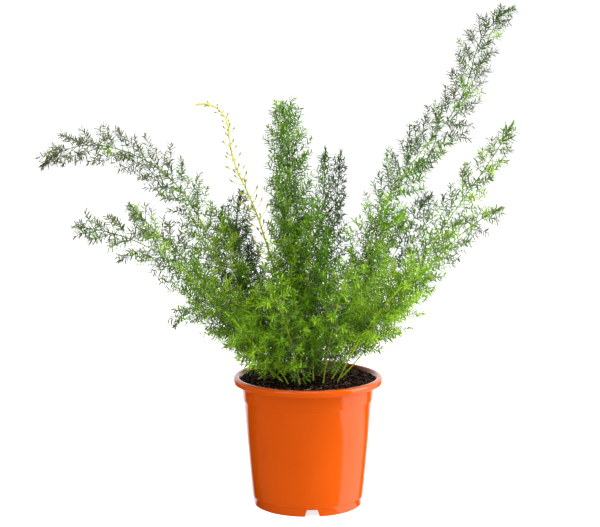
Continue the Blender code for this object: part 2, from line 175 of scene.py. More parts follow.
def node(tree, kind, inputs=None, links=None, **settings):
    """Add a shader node with its settings, socket values and incoming links."""
    item = tree.nodes.new(kind)
    for key, value in settings.items():
        setattr(item, key, value)
    for key, value in (inputs or {}).items():
        item.inputs[key].default_value = value
    for key, source in (links or {}).items():
        tree.links.new(source, item.inputs[key])
    return item


def new_material(name, **sockets):
    """A material with its Principled shader's sockets set."""
    material = bpy.data.materials.new(name)
    material.use_nodes = True
    shader = material.node_tree.nodes["Principled BSDF"]
    for key, value in sockets.items():
        shader.inputs[key.replace("_", " ")].default_value = value
    return material, material.node_tree, shader


def ramp(tree, source, stops):
    """A colour ramp with (position, sRGB hex) stops."""
    item = node(tree, "ShaderNodeValToRGB", links={"Fac": source})
    elements = item.color_ramp.elements
    for k, (position, colour) in enumerate(stops):
        stop = elements[k] if k < 2 else elements.new(position)
        stop.position = position
        stop.color = linear(colour)
    return item


def object_coordinates(tree):
    """The piece's own coordinates, in metres."""
    return node(tree, "ShaderNodeTexCoord").outputs["Object"]


pot_profile = [
    (0.0, 0.0),
    (GROUND_FOOT - 0.4, 0.0),
    (GROUND_FOOT, 0.4),
    (GROUND_FOOT + 1.0, FLOOR_UNDERSIDE),
    (SKIRT_RADIUS - WALL + 0.3, FLOOR_UNDERSIDE),
    (SKIRT_RADIUS - WALL + 0.1, 0.4),
    (SKIRT_RADIUS - WALL + 0.5, 0.0),
    (SKIRT_RADIUS - 0.5, 0.0),
    (SKIRT_RADIUS, 0.6),
    (SKIRT_RADIUS + 0.8, SKIRT_TOP - 1.0),
    (SKIRT_RADIUS + 1.1, SKIRT_TOP - 0.6),
    (outer_radius(SKIRT_TOP) - 0.2, SKIRT_TOP - 0.2),
    (outer_radius(SKIRT_TOP), SKIRT_TOP + 0.5),
    (outer_radius(40), 40.0),
    (outer_radius(80), 80.0),
    (outer_radius(SHOULDER_Z), SHOULDER_Z - 0.3),
    (outer_radius(SHOULDER_Z) + 0.2, SHOULDER_Z),
    (outer_radius(SHOULDER_Z) + SHOULDER_STEP - 0.1, SHOULDER_Z + 0.25),
    (outer_radius(SHOULDER_Z) + SHOULDER_STEP + 0.05, SHOULDER_Z + 0.6),
    (NECK_RADIUS + SHOULDER_STEP, LIP_UNDER - 0.5),
    (NECK_RADIUS + SHOULDER_STEP + 1.3, LIP_UNDER + 1.8),
    (FLARE_TOP[0] + WALL, RIM_TOP - 1.9),
    (RIM_RADIUS - 1.9, RIM_TOP - 1.9),
    (RIM_RADIUS - 1.5, LIP_UNDER + 0.1),
    (RIM_RADIUS - 0.8, LIP_UNDER),
    (RIM_RADIUS - 0.2, LIP_UNDER + 0.4),
    (RIM_RADIUS, LIP_UNDER + 1.2),
    (RIM_RADIUS - 0.05, RIM_TOP - 3.0),
    (RIM_RADIUS - 0.4, RIM_TOP - 1.5),
    (RIM_RADIUS - 1.2, RIM_TOP - 0.5),
    (RIM_RADIUS - 2.6, RIM_TOP),
    (FLARE_TOP[0] + 1.6, RIM_TOP),
    (FLARE_TOP[0] + 0.6, RIM_TOP - 0.35),
    FLARE_TOP,
    FLARE_BOTTOM,
    (inner_radius(SHOULDER_Z), SHOULDER_Z),
    (inner_radius(FLOOR_TOP + 2.0), FLOOR_TOP + 2.0),
    (inner_radius(FLOOR_TOP) - 2.0, FLOOR_TOP),
    (GROUND_FOOT - 0.6, FLOOR_TOP),
    (GROUND_FOOT - WALL, WALL),
    (0.0, WALL),
]
pot = turned("nursery_pot", pot_profile, POT_STEPS)

# Four notches through the skirt, narrower at the top, and a drain hole in the
# raised floor behind each of them
NOTCH_ANGLES = (-85.6, 4.4, 94.4, 184.4)
NOTCH_CENTRE = (62.0, 0.0, 3.6)
NOTCH_SIZE = (20.0, 17.6, 9.2)
NOTCH_TOP_Z = 8.2
NOTCH_TOP_WIDTH = 0.68
NOTCH_ROUNDING = 0.9
DRAIN_OUT = 48.0
DRAIN_RADIUS = 5.0
DRAIN_DEPTH = 8.0
for degrees in NOTCH_ANGLES:
    turn = math.radians(degrees)
    nothing_selected()
    notch_place = [value * MM for value in NOTCH_CENTRE]
    notch_scale = [value * MM for value in NOTCH_SIZE]
    bpy.ops.mesh.primitive_cube_add(size=1, location=notch_place, scale=notch_scale)
    notch = bpy.context.object
    bpy.ops.object.mode_set(mode="EDIT")
    bpy.ops.mesh.select_all(action="DESELECT")
    shape = bmesh.from_edit_mesh(notch.data)
    for face in shape.faces:
        face.select = face.normal.z > 0.9
    bmesh.update_edit_mesh(notch.data)
    notch_top = (NOTCH_CENTRE[0] * MM, 0, NOTCH_TOP_Z * MM)
    bpy.ops.transform.resize(value=(1, NOTCH_TOP_WIDTH, 1), center_override=notch_top)
    bpy.ops.object.mode_set(mode="OBJECT")
    place_applied(notch)
    rounded(notch, NOTCH_ROUNDING * MM, 3, 60)
    notch.rotation_euler.z = turn
    place_applied(notch)
    cut_by(pot, notch)
    nothing_selected()
    out = DRAIN_OUT * MM
    centre = (out * math.cos(turn), out * math.sin(turn), FLOOR_UNDERSIDE * MM)
    bpy.ops.mesh.primitive_cylinder_add(
        vertices=32, radius=DRAIN_RADIUS * MM, depth=DRAIN_DEPTH * MM, location=centre)
    drain = bpy.context.object
    place_applied(drain)
    cut_by(pot, drain)

# Orange polypropylene: dyed through, smooth and glossy, with the faint flow
# mottling and fine rub marks of a moulded pot that has been handled. The
# mottling is about 110 mm wide, a rub about 7 mm long and under 1 mm high, and
# the grain about 0.5 mm, a little coarser than a mould's so that it shows.
pot_plastic, tree, shader = new_material("orange_polypropylene", IOR=1.49, Specular_IOR_Level=0.2)
place = object_coordinates(tree)
flow = node(tree, "ShaderNodeTexNoise", {"Scale": 9.0, "Detail": 3.0, "Roughness": 0.45},
            {"Vector": place})
dye = ramp(tree, flow.outputs["Fac"], [(0.3, "BF4902"), (0.7, "C74F04")])
squeezed = node(tree, "ShaderNodeMapping", {"Scale": (1.0, 1.0, 9.0)}, {"Vector": place})
rubs = node(tree, "ShaderNodeTexNoise", {"Scale": 140.0, "Detail": 5.0, "Roughness": 0.6},
            {"Vector": squeezed.outputs[0]})
gloss = node(tree, "ShaderNodeMapRange",
             {"From Min": 0.35, "From Max": 0.7, "To Min": 0.07, "To Max": 0.12},
             {"Value": rubs.outputs["Fac"]})
grain = node(tree, "ShaderNodeTexNoise", {"Scale": 2200.0, "Detail": 2.0}, {"Vector": place})
relief = node(tree, "ShaderNodeBump", {"Strength": 0.03, "Distance": 0.00006},
              {"Height": grain.outputs["Fac"]})
tree.links.new(dye.outputs["Color"], shader.inputs["Base Color"])
tree.links.new(gloss.outputs["Result"], shader.inputs["Roughness"])
tree.links.new(relief.outputs["Normal"], shader.inputs["Normal"])
pot.data.materials.append(pot_plastic)
only(pot)
bpy.ops.object.shade_smooth_by_angle(angle=math.radians(32))
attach(pot, "root")
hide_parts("pot")

# The potting soil
# Dark moist peat that fills the pot to a few millimetres under the rim. Its
# top is lumpy, with crumbs, reddish bark bits and pale root fibres.
GAP = 0.3
SOIL_EDGE_Z = 145.4
SOIL_MIDDLE_Z = 147.2
SOIL_RINGS = 46
SOIL_STEPS = 150
edge_radius = inner_radius(SOIL_EDGE_Z) - GAP


def soil_height(share):
    """Height of the mound at a share of its radius, in millimetres."""
    return SOIL_EDGE_Z + (SOIL_MIDDLE_Z - SOIL_EDGE_Z) * (1.0 - share ** 2.5)


soil_profile = [
    (0.0, WALL + GAP),
    (GROUND_FOOT - WALL - GAP - 0.4, WALL + GAP),
    (GROUND_FOOT - 0.6 - GAP - 0.6, FLOOR_TOP + GAP),
    (inner_radius(FLOOR_TOP) - 2.6, FLOOR_TOP + GAP),
    (inner_radius(FLOOR_TOP + 2.0) - GAP - 0.2, FLOOR_TOP + 2.4),
    (inner_radius(SHOULDER_Z) - GAP, SHOULDER_Z),
    (FLARE_BOTTOM[0] - GAP, FLARE_BOTTOM[1]),
]
for k in range(SOIL_RINGS):
    share = 1.0 - k / SOIL_RINGS
    soil_profile.append((edge_radius * share, soil_height(share)))
soil_profile.append((0.0, soil_height(0.0)))
soil = turned("potting_soil", soil_profile, SOIL_STEPS)
soil_top = soil.vertex_groups.new(name="top")
for vertex in soil.data.vertices:
    r = math.hypot(vertex.co.x, vertex.co.y) / MM
    if vertex.co.z > (SOIL_EDGE_Z - 0.2) * MM:
        soil_top.add([vertex.index], min(1.0, (edge_radius - r) / 3.0 + 0.05), "REPLACE")
# Lumps of three sizes, each with its height in millimetres
for size, strength in ((0.012, 2.4), (0.004, 1.6), (0.0018, 0.7)):
    lumps = bpy.data.textures.new("soil_lumps", "CLOUDS")
    lumps.noise_scale = size
    lumps.noise_depth = 2
    modifier = soil.modifiers.new("lumps", "DISPLACE")
    modifier.texture = lumps
    modifier.texture_coords = "LOCAL"
    modifier.direction = "Z"
    modifier.vertex_group = "top"
    modifier.mid_level = 0.55
    modifier.strength = strength * MM
apply_modifiers(soil)

# Moist peat: nearly black brown, matt, reddish where bark shows. Patches are
# about 4 mm wide and the crumb of the surface about 1.4 mm.
peat, tree, shader = new_material("moist_peat", Roughness=0.92, Specular_IOR_Level=0.08)
place = object_coordinates(tree)
patches = node(tree, "ShaderNodeTexNoise", {"Scale": 260.0, "Detail": 6.0, "Roughness": 0.7},
               {"Vector": place})
browns = ramp(tree, patches.outputs["Fac"], [
    (0.42, "020101"),
    (0.54, "120906"),
    (0.62, "5E3A2A"),
    (0.71, "B08066"),
])
crumb = node(tree, "ShaderNodeTexVoronoi", {"Scale": 700.0}, {"Vector": place})
relief = node(tree, "ShaderNodeBump", {"Strength": 0.8, "Distance": 0.0006},
              {"Height": crumb.outputs["Distance"]})
tree.links.new(browns.outputs["Color"], shader.inputs["Base Color"])
tree.links.new(relief.outputs["Normal"], shader.inputs["Normal"])
soil.data.materials.append(peat)
only(soil)
bpy.ops.object.shade_smooth_by_angle(angle=math.radians(50))
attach(soil, "root")
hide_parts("soil")


def stamped(template, faces, places):
    """Points and faces of copies of a template, each at its own 4x4 place."""
    corners = np.concatenate([template, np.ones((len(template), 1))], axis=1)
    points = np.einsum("nij,vj->nvi", places[:, :3, :], corners).reshape(-1, 3)
    starts = np.arange(len(places))[:, None, None] * len(template)
    return points, (starts + faces[None]).reshape(-1, faces.shape[1])


def mesh_from(name, blocks, tints=None):
    """A mesh from blocks of (points, equal-sided faces), with a tint for each point."""
    mesh = bpy.data.meshes.new(name)
    start = 0
    points = []
    loops = []
    totals = []
    for block_points, block_faces in blocks:
        points.append(block_points)
        loops.append((block_faces + start).reshape(-1))
        totals.append(np.full(len(block_faces), block_faces.shape[1]))
        start += len(block_points)
    points = np.concatenate(points)
    loops = np.concatenate(loops)
    totals = np.concatenate(totals)
    mesh.vertices.add(len(points))
    mesh.vertices.foreach_set("co", points.astype(np.float32).reshape(-1))
    mesh.loops.add(len(loops))
    mesh.loops.foreach_set("vertex_index", loops.astype(np.int32))
    mesh.polygons.add(len(totals))
    loop_starts = np.concatenate([[0], np.cumsum(totals)[:-1]])
    mesh.polygons.foreach_set("loop_start", loop_starts.astype(np.int32))
    mesh.update(calc_edges=True)
    if tints is not None:
        layer = mesh.attributes.new("tint", "FLOAT", "POINT")
        layer.data.foreach_set("value", np.concatenate(tints).astype(np.float32))
    mesh.validate()
    return mesh


def new_piece(name, blocks, tints=None):
    """A piece of the scene, with its mesh made from blocks."""
    piece = bpy.data.objects.new(name, mesh_from(name, blocks, tints))
    bpy.context.scene.collection.objects.link(piece)
    return piece


def read_template(piece):
    """A small model's points and triangles, and the model is then removed."""
    only(piece)
    bpy.ops.object.mode_set(mode="EDIT")
    bpy.ops.mesh.select_all(action="SELECT")
    bpy.ops.mesh.quads_convert_to_tris()
    bpy.ops.object.mode_set(mode="OBJECT")
    points = np.array([tuple(v.co) for v in piece.data.vertices])
    faces = np.array([tuple(p.vertices) for p in piece.data.polygons])
    bpy.data.objects.remove(piece, do_unlink=True)
    return points, faces


# Crumbs of peat and chips of bark that lie loose on the soil
nothing_selected()
bpy.ops.mesh.primitive_ico_sphere_add(subdivisions=1, radius=1.0)
crumb_points, crumb_faces = read_template(bpy.context.object)
crumb_rng = np.random.default_rng(5)
crumb_points = crumb_points * crumb_rng.uniform(0.75, 1.15, (len(crumb_points), 1))
CRUMBS = 900
CRUMB_SIZE = 0.9
share = np.sqrt(crumb_rng.uniform(0, 0.97, CRUMBS))
angle = crumb_rng.uniform(0, math.tau, CRUMBS)
sizes = crumb_rng.uniform(0.5, 1.5, CRUMBS) ** 1.6 * CRUMB_SIZE
spots = np.zeros((CRUMBS, 4, 4))
for k in range(CRUMBS):
    stretch = Vector(crumb_rng.uniform(0.7, 1.5, 3)) * float(sizes[k]) * MM
    turn = Matrix.Rotation(crumb_rng.uniform(0, math.tau), 4, "Z")
    turn = turn @ Matrix.Rotation(crumb_rng.uniform(0, 3), 4, "X")
    r = edge_radius * share[k] * 0.985
    height = soil_height(share[k]) + 0.25 * sizes[k]
    spot = Matrix.Translation((r * math.cos(angle[k]) * MM, r * math.sin(angle[k]) * MM, height * MM))
    spots[k] = np.array(spot @ turn @ Matrix.Diagonal((*stretch, 1.0)))
crumbs = new_piece("peat_crumbs", [stamped(crumb_points, crumb_faces, spots)])
crumbs.data.materials.append(peat)
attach(crumbs, "root")

# Pale root fibres and dry needle bits among the crumbs
fibre, tree, shader = new_material("pale_root_fibre", Roughness=0.8)
place = object_coordinates(tree)
tones = node(tree, "ShaderNodeTexNoise", {"Scale": 300.0}, {"Vector": place})
straw = ramp(tree, tones.outputs["Fac"], [(0.35, "6E4B30"), (0.65, "B79A74")])
tree.links.new(straw.outputs["Color"], shader.inputs["Base Color"])
FIBRES = 120
FIBRE_RADIUS = 0.16
FIBRE_LENGTH = 9.0
FIBRE_BEND = 0.05
FIBRE_LIFT = 0.9
nothing_selected()
bpy.ops.mesh.primitive_cylinder_add(vertices=5, radius=FIBRE_RADIUS, depth=FIBRE_LENGTH)
strand = bpy.context.object
bpy.ops.object.mode_set(mode="EDIT")
for height in (-1.5, 1.5):
    bpy.ops.mesh.select_all(action="SELECT")
    bpy.ops.mesh.bisect(plane_co=(0, 0, height), plane_no=(0, 0, 1))
bpy.ops.object.mode_set(mode="OBJECT")
for vertex in strand.data.vertices:
    vertex.co.x += FIBRE_BEND * vertex.co.z ** 2
fibre_points, fibre_faces = read_template(strand)
spots = np.zeros((FIBRES, 4, 4))
for k in range(FIBRES):
    share_k = math.sqrt(crumb_rng.uniform(0.02, 0.9))
    turn_k = crumb_rng.uniform(0, math.tau)
    r = edge_radius * share_k * 0.96
    lay = Matrix.Rotation(crumb_rng.uniform(0, math.tau), 4, "Z")
    lay = lay @ Matrix.Rotation(math.radians(90 + crumb_rng.uniform(-7, 7)), 4, "X")
    lay = lay @ Matrix.Rotation(crumb_rng.uniform(0, math.tau), 4, "Z")
    height = soil_height(share_k) + FIBRE_LIFT
    spot = Matrix.Translation((r * math.cos(turn_k) * MM, r * math.sin(turn_k) * MM, height * MM))
    spots[k] = np.array(spot @ lay @ Matrix.Scale(crumb_rng.uniform(0.5, 1.1) * MM, 4))
fibres = new_piece("root_fibres", [stamped(fibre_points, fibre_faces, spots)])
fibres.data.materials.append(fibre)
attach(fibres, "root")

# The leafy stems
# Each frond is one slim green stem with side shoots all round it, which leave
# it steeply and curve forward. Flat pointed needles stand on them in whorls.
STEM_FOOT_Z = 146.0
STEM_DEPTH = 12.0
STEM_RADIUS = 0.9
STEM_TIP_RADIUS = 0.45
CORE_RADIUS = 0.36
NEEDLE_LENGTH = 9.0
NEEDLE_WIDTH = 1.5
NEEDLE_THICKNESS = 0.5
NEEDLE_RINGS = (0.2, 0.72)
PER_WHORL = 3
WHORL_STEP = 2.6
SHOOT_STEPS = (2.7, 2.7, 3.4)
LOW_START = 0.4
SPREAD = 68.0
TIP_SPREAD = 44.0
FORWARD_BEND = 0.55
STEM_STEPS = 90
STEM_SIDES = 8
SHOOT_POINTS = 7
SHOOT_SIDES = 3
SHORTEST_SHOOT = 8.0
LAST_SHOOT = 11.0
BUSHY_TIPS = {"centre_tall_frond": 18.0}
BARE_TIP = 9.0
GOLDEN_ANGLE = 137.5
RIM_OUTSIDE = RIM_RADIUS + 4.0
FIRST_WHORL = 4.0
FRESH_SHARE = 0.13
CROWN_LENGTH = 26.0
CROWN_LEVELS = 9
CROWN_NEEDLES = 4
STEM_END = 0.12
SHOOT_END = 0.06
SHARE_STEPS = 400

# Foot (x, y), direction seen from above, length, the side shoots' length low
# down, midway and far out, the bare share at the foot, tint, which picks the
# needle colours in painted light (light for a lit frond, mid for a half-shaded
# one, dark for one in painted shade), and how far the stem leans from upright
# at even steps
FRONDS = {
    "right_tall_frond": ((12, 8), 12, 485, (36, 42, 30), 0.10, "mid", (37, 21, 10, 37, 42, 11, 61)),
    "right_middle_frond": ((26, -14), -24, 365, (38, 36, 22), 0.11, "light", (31, 42, 32, 36, 30)),
    "right_low_frond": ((37, -2), 4, 270, (36, 34, 22), 0.13, "light", (45, 34, 39, 45, 66)),
    "right_inner_frond": ((26, 17), 48, 270, (38, 34, 26), 0.08, "dark", (50, 37, 43, 43, 56)),
    "centre_tall_frond": ((-13, -9), 180, 315, (34, 36, 34), 0.06, "mid", (15, -2, -1, 1, 12)),
    "centre_right_frond": ((2, 13), 72, 265, (38, 30, 15), 0.06, "dark", (3, 11, 20, 20, -3)),
    "centre_back_frond": ((12, 27), 66, 260, (38, 28, 14), 0.07, "dark", (19, 17, 12, 14, 12)),
    "centre_front_frond": ((6, -24), -65, 210, (36, 36, 30), 0.07, "dark", (-2, -14, 3, 7, 2)),
    "left_arching_frond": ((-24, 6), 168, 435, (34, 38, 33), 0.11, "light", (37, 34, 22, 29, 58, 87, 135)),
    "left_low_frond": ((-28, -22), -158, 315, (36, 38, 30), 0.08, "light", (49, 35, 43, 63, 84)),
    "left_middle_frond": ((-37, -8), -178, 260, (38, 36, 28), 0.10, "light", (32, 42, 30, 47, 42)),
    "left_inner_frond": ((-14, 20), 138, 235, (36, 34, 26), 0.08, "dark", (54, 34, 27, 15, -29)),
    "left_inner_low_frond": ((-31, 18), 158, 205, (36, 34, 24), 0.08, "mid", (26, 29, 26, 17, -1)),
    "left_drooping_frond": ((-22, -35), -140, 205, (34, 32, 24), 0.12, "mid", (30, 52, 38, 74, 147)),
    "front_left_frond": ((-9, -37), -112, 160, (36, 36, 28), 0.09, "mid", (22, 30, 40, 58)),
    "front_right_frond": ((17, -31), -72, 180, (36, 36, 28), 0.09, "mid", (20, 26, 36, 55)),
    "front_side_frond": ((33, -25), -42, 195, (36, 36, 28), 0.10, "mid", (28, 36, 44, 62)),
    "back_centre_frond": ((-6, 34), 118, 235, (36, 34, 26), 0.10, "dark", (14, 14, 16, 22)),
    "back_left_frond": ((-22, 33), 132, 200, (36, 34, 26), 0.10, "dark", (24, 28, 34, 50)),
    "back_right_frond": ((27, 32), 40, 215, (36, 34, 26), 0.10, "dark", (22, 26, 34, 52)),
}

# One needle: a flat three-sided blade with a narrow root, nearly straight
# edges and a short point
nothing_selected()
bpy.ops.mesh.primitive_cone_add(vertices=3, radius1=0.5, radius2=0.0, depth=1.0, location=(0, 0, 0.5))
needle = bpy.context.object
place_applied(needle)
bpy.ops.object.mode_set(mode="EDIT")
for height in NEEDLE_RINGS:
    bpy.ops.mesh.select_all(action="SELECT")
    bpy.ops.mesh.bisect(plane_co=(0, 0, height), plane_no=(0, 0, 1))
bpy.ops.mesh.select_all(action="DESELECT")
shape = bmesh.from_edit_mesh(needle.data)
for vertex in shape.verts:
    level = vertex.co.z
    vertex.select = level < 0.01
    if 0.01 < level < 0.99:
        vertex.co.x *= 1.0 / (1.0 - level)
        vertex.co.y *= (1.0 / (1.0 - level)) * NEEDLE_THICKNESS / NEEDLE_WIDTH
shape.select_flush(True)
bmesh.update_edit_mesh(needle.data)
bpy.ops.mesh.merge(type="CENTER")
bpy.ops.object.mode_set(mode="OBJECT")
needle_points, needle_faces = read_template(needle)
needle_heights = needle_points[:, 2].copy()
needle_points = needle_points * np.array([NEEDLE_WIDTH, NEEDLE_WIDTH, 1.0])


def unit_rows(rows):
    """Each row scaled to length 1."""
    return rows / np.maximum(np.linalg.norm(rows, axis=-1, keepdims=True), 1e-12)


def stem_line(foot, azimuth, length, leans, steps):
    """Points (mm) and arc lengths along a stem from its underground end."""
    t = np.linspace(0.0, 1.0, steps + 1)
    lean = np.radians(np.interp(t, np.linspace(0.0, 1.0, len(leans)), leans))
    turn = math.radians(azimuth)
    out = np.sin(lean)
    heading = np.stack([out * math.cos(turn), out * math.sin(turn), np.cos(lean)], axis=1)
    hops = (heading[1:] + heading[:-1]) / 2 * (length / steps)
    start = np.array([foot[0], foot[1], STEM_FOOT_Z], dtype=float)
    line = np.vstack([start, start + np.cumsum(hops, axis=0)])
    line = np.vstack([line[0] - heading[0] * STEM_DEPTH, line])
    return line, np.concatenate([[-STEM_DEPTH], t * length]), turn


UP = np.array([0.0, 0.0, 1.0])
ASIDE = np.array([1.0, 0.0, 0.0])


def tubes(lines, radii, sides):
    """Round tubes, open at both ends, along lines of equal point count."""
    count, length, _ = lines.shape
    heading = unit_rows(np.gradient(lines, axis=1))
    helper = np.where(np.abs(heading[:, :1, 2:3]) < 0.8, UP, ASIDE)
    helper = np.broadcast_to(helper, lines.shape)
    side = unit_rows(np.cross(heading, helper))
    other = np.cross(heading, side)
    turn = np.arange(sides) * math.tau / sides
    spread = side[:, :, None] * np.cos(turn)[:, None] + other[:, :, None] * np.sin(turn)[:, None]
    points = lines[:, :, None] + spread * radii[:, :, None, None]
    index = np.arange(count * length * sides).reshape(count, length, sides)
    after = np.roll(index, -1, axis=2)
    quads = np.stack([index[:, :-1], after[:, :-1], after[:, 1:], index[:, 1:]], axis=-1)
    return points.reshape(-1, 3), quads.reshape(-1, 4)


def needle_places(centres, ways, widths, lengths, rolls):
    """4x4 places of needles that grow from centres along ways, flat side up."""
    ways = unit_rows(ways)
    helper = np.where(np.abs(ways[:, 2:3]) < 0.9, UP, ASIDE)
    flat = unit_rows(np.cross(ways, helper))
    lift = np.cross(ways, flat)
    turned_flat = flat * np.cos(rolls)[:, None] + lift * np.sin(rolls)[:, None]
    turned_lift = np.cross(ways, turned_flat)
    places = np.zeros((len(centres), 4, 4))
    places[:, :3, 0] = turned_flat * widths[:, None]
    places[:, :3, 1] = turned_lift * widths[:, None]
    places[:, :3, 2] = ways * lengths[:, None]
    places[:, :3, 3] = centres
    places[:, 3, 3] = 1.0
    return places


def along(line, arc, s):
    """The points that lie at arc lengths s on a line."""
    return np.stack([np.interp(s, arc, line[:, axis]) for axis in range(3)], axis=-1)


def ways_along(line, arc, s, back=1.0, on=1.0):
    """The line's direction at arc lengths s."""
    return unit_rows(along(line, arc, s + on) - along(line, arc, s - back))


def across_frames(ways, turn):
    """Two directions square to each heading, the first level and across the stem."""
    level = np.array([-math.sin(turn), math.cos(turn), 0.0])
    first = unit_rows(level - ways * (ways @ level)[:, None])
    return first, np.cross(ways, first)


# How far the outer end of a plume has hardened to a dull olive, how many side
# shoots it carries against the others, how much painted shade darkens its young
# needles (lighter below 0), and the further share of the stem that is bare at its foot
HABIT = {
    "right_tall_frond": (0.95, 1.25, -0.04, 0.03),
    "right_middle_frond": (0.75, 1.15, 0.0, 0.02),
    "right_low_frond": (0.75, 1.1, 0.0, 0.03),
    "left_arching_frond": (1.0, 1.2, -0.05, 0.0),
    "left_low_frond": (0.9, 1.1, 0.0, 0.0),
    "left_middle_frond": (0.8, 1.1, 0.0, 0.0),
    "left_drooping_frond": (0.8, 1.0, 0.0, 0.0),
    "right_inner_frond": (0.8, 1.2, 0.0, 0.0),
    "left_inner_frond": (0.8, 1.35, -0.1, 0.0),
    "left_inner_low_frond": (0.6, 1.35, 0.0, 0.0),
    "centre_back_frond": (0.8, 1.35, -0.1, 0.0),
    "centre_right_frond": (0.5, 1.4, -0.1, 0.0),
    "centre_front_frond": (0.0, 1.2, 0.05, 0.0),
    "centre_tall_frond": (0.5, 2.1, -0.1, 0.0),
    "front_left_frond": (0.0, 1.0, 0.12, 0.0),
    "front_right_frond": (0.0, 0.9, 0.1, 0.04),
    "front_side_frond": (0.0, 0.7, 0.0, 0.14),
}


def dress_frond(name, number, leaf):
    """Build one leafy stem: stem, side shoots and needles in one mesh."""
    foot, azimuth, length, shoots, bare, tint, leans = FRONDS[name]
    dull, fullness, depth, late = HABIT.get(name, (0.0, 1.0, 0.0, 0.0))
    rng = np.random.default_rng(100 + number)

    # The stem, which fades to the dull tone of the needles where they harden
    line, arc, turn = stem_line(foot, azimuth, length, leans, STEM_STEPS)
    radii = STEM_RADIUS + (STEM_TIP_RADIUS - STEM_RADIUS) * np.clip(arc / length, 0, 1) ** 0.8
    radii[-1] = STEM_END
    blocks = [tubes(line[None], radii[None], STEM_SIDES)]
    stem_tone = 1.0 - 0.85 * dull * np.clip((arc / length - 0.45) / 0.3, 0, 1)
    tints = [np.repeat(stem_tone, STEM_SIDES)]

    # Side shoots, closer together towards the foot, turned round the stem by
    # the golden angle; near the pot they are kept above the soil and the rim
    low_start = bare * (LOW_START if bare < 0.1 else 0.9) + late
    share = np.linspace(low_start, 1.0 - BARE_TIP / length, SHARE_STEPS)
    crowding = fullness / np.interp(share, (0.0, 0.35, 0.65), SHOOT_STEPS)
    tally = np.concatenate([[0.0], np.cumsum(crowding[1:] * np.diff(share) * length)])
    count = int(tally[-1])
    share = np.interp(np.arange(count) + rng.uniform(0.1, 0.9, count), tally, share)
    s = share * length
    root = along(line, arc, s)
    outer = dull * np.clip((share - 0.35) / 0.3, 0.0, 1.0)
    way = ways_along(line, arc, s)
    first, second = across_frames(way, turn)
    around = np.arange(count) * math.radians(GOLDEN_ANGLE) + rng.uniform(-0.35, 0.35, count)
    outward = first * np.cos(around)[:, None] + second * np.sin(around)[:, None]
    last_shoot = BUSHY_TIPS.get(name, LAST_SHOOT)
    shoot_shares = (low_start, bare, 0.22, 0.55, 0.86, 1.0)
    shoot_sizes = (0.5 * shoots[0], 0.75 * shoots[0], *shoots, last_shoot)
    size = np.interp(share, shoot_shares, shoot_sizes)
    size = np.maximum(size * rng.uniform(0.7, 1.08, count), SHORTEST_SHOOT)
    spread = np.interp(share, (0.0, 0.84, 1.0), (SPREAD, SPREAD, TIP_SPREAD))
    spread = np.radians(spread + rng.uniform(-13, 13, count))
    finish_spread = spread * (FORWARD_BEND + rng.uniform(-0.25, 0.25, count))
    start_way = way * np.cos(spread)[:, None] + outward * np.sin(spread)[:, None]
    finish_way = way * np.cos(finish_spread)[:, None] + outward * np.sin(finish_spread)[:, None]
    finish_way = unit_rows(finish_way + np.array([0.0, 0.0, -0.05]))
    k = np.linspace(0, 1, SHOOT_POINTS)[None, :, None]
    heading = unit_rows(start_way[:, None] * (1 - k) + finish_way[:, None] * k)
    hop = (heading[:, 1:] + heading[:, :-1]) / 2 * (size / (SHOOT_POINTS - 1))[:, None, None]
    paths = np.concatenate([root[:, None], root[:, None] + np.cumsum(hop, axis=1)], axis=1)
    reach_out = np.hypot(paths[..., 0], paths[..., 1])
    inside = reach_out < RIM_OUTSIDE
    over_rim = np.clip((reach_out - 68.0) / 8.0, 0.0, 1.0) * inside
    lowest = SOIL_MIDDLE_Z + 1.0 + 3.0 * over_rim
    paths[..., 2] = np.where(inside, np.maximum(paths[..., 2], lowest), paths[..., 2])
    core = CORE_RADIUS * (1.15 - 0.55 * np.linspace(0, 1, SHOOT_POINTS))[None] * np.ones((count, 1))
    core[:, -1] = SHOOT_END
    blocks.append(tubes(paths, core, SHOOT_SIDES))
    fade = 0.2 * np.linspace(0, 1, SHOOT_POINTS)[None]
    core_tone = np.clip(0.95 - 0.75 * outer[:, None] - fade, 0.1, 0.9)
    tints.append(np.repeat(core_tone.reshape(-1), SHOOT_SIDES))

    # Needles in whorls along each side shoot; the long shoots of a hardened,
    # open plume start theirs further out
    whorl_total = int((max(shoots) * 1.1) / WHORL_STEP) + 1
    first_whorl = FIRST_WHORL + 5.0 * outer[:, None] * (size[:, None] > 20) * (fullness < 1.5)
    d = first_whorl + np.arange(whorl_total)[None] * WHORL_STEP
    owner, which = np.nonzero(d < (size - 1.5)[:, None])
    at = d[owner, which] + rng.uniform(-0.6, 0.6, len(owner))
    u = np.clip(at / size[owner], 0, 1)
    step = u * (SHOOT_POINTS - 1)
    low = np.minimum(step.astype(int), SHOOT_POINTS - 2)
    part = (step - low)[:, None]
    centre = paths[owner, low] * (1 - part) + paths[owner, low + 1] * part
    head = unit_rows(heading[owner, low] * (1 - part) + heading[owner, low + 1] * part)
    flat = unit_rows(np.cross(head, way[owner] + 0.01))
    lift = np.cross(head, flat)
    roll = rng.uniform(0, math.tau, len(owner))[:, None]
    roll = roll + np.arange(PER_WHORL)[None] * math.tau / PER_WHORL
    roll = roll + rng.uniform(-0.3, 0.3, roll.shape)
    tilt = np.radians(64 - 20 * u[:, None] ** 3 + rng.uniform(-10, 10, roll.shape))
    out = flat[:, None] * np.cos(roll)[..., None] + lift[:, None] * np.sin(roll)[..., None]
    needle_way = head[:, None] * np.cos(tilt)[..., None] + out * np.sin(tilt)[..., None]
    reach = NEEDLE_LENGTH * (0.72 + 0.3 * np.sin(np.pi * np.clip(u, 0.05, 0.9)))
    reach = reach[:, None] * rng.uniform(0.8, 1.1, roll.shape)
    base = np.repeat(centre[:, None], PER_WHORL, axis=1)
